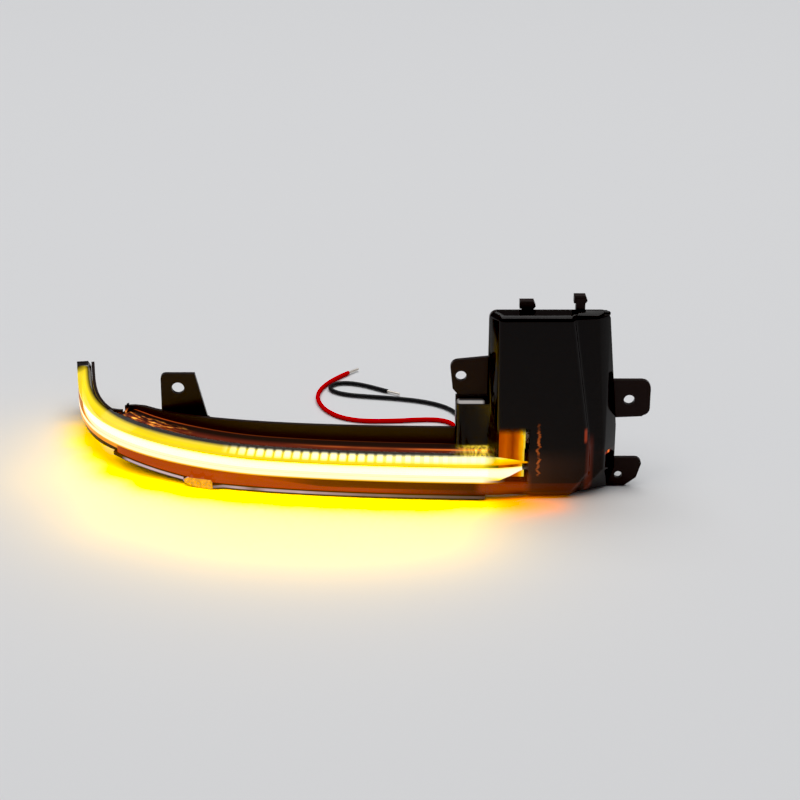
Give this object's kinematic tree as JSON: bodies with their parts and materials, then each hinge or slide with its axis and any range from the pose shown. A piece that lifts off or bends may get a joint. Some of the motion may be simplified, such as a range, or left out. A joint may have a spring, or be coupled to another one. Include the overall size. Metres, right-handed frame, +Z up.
{
  "type": "mirror turn signal lamp",
  "caption": "Swept amber turn signal lamp for a door mirror: smoked lens with two lit bands, tall black tail with four mounting ears and two loose leads.",
  "frame": {"origin": "middle of the lamp's outline without its leads, on the table it stands on", "axes": "+X right along the lamp, from the swept tip to the tail; +Y back, the way the tip sweeps; +Z up"},
  "size_m": [0.2328, 0.1265, 0.0811],
  "materials": {
    "smoked_lens": "glossy smoked clear plastic",
    "black_housing": "glossy black plastic",
    "lit_bar": "milky plastic, lit amber",
    "lit_led": "lit",
    "carrier_plastic": "satin",
    "circuit_board": "solder mask",
    "baffle_plastic": "clear plastic, lit from the side",
    "chip_black": "matt",
    "capacitor_can": "satin",
    "screw_steel": "zinc plated",
    "ribbon_white": "matt",
    "grommet_rubber": "matt",
    "red_insulation": "soft vinyl",
    "black_insulation": "soft vinyl",
    "tinned_wire": "tinned strands"
  },
  "bodies": {
    "root": {"lens": "smoked_lens", "housing": "black_housing", "lower_light_bar": "lit_bar", "upper_light_guide": "lit_bar", "light_carrier": "carrier_plastic", "lower_led_board": "circuit_board", "upper_led_board": "circuit_board", "lower_leds": "lit_led", "upper_leds": "lit_led", "end_baffle": "baffle_plastic", "driver_board": "circuit_board", "controller_chip": "chip_black", "regulator": "chip_black", "capacitors": "capacitor_can", "coil": "chip_black", "diodes": "chip_black", "resistors": "chip_black", "board_screws": "screw_steel", "jumper_ribbon": "ribbon_white", "wire_grommet": "grommet_rubber", "red_lead": "red_insulation", "black_lead": "black_insulation", "red_lead_tip": "tinned_wire", "black_lead_tip": "tinned_wire"}
  },
  "joints": []
}
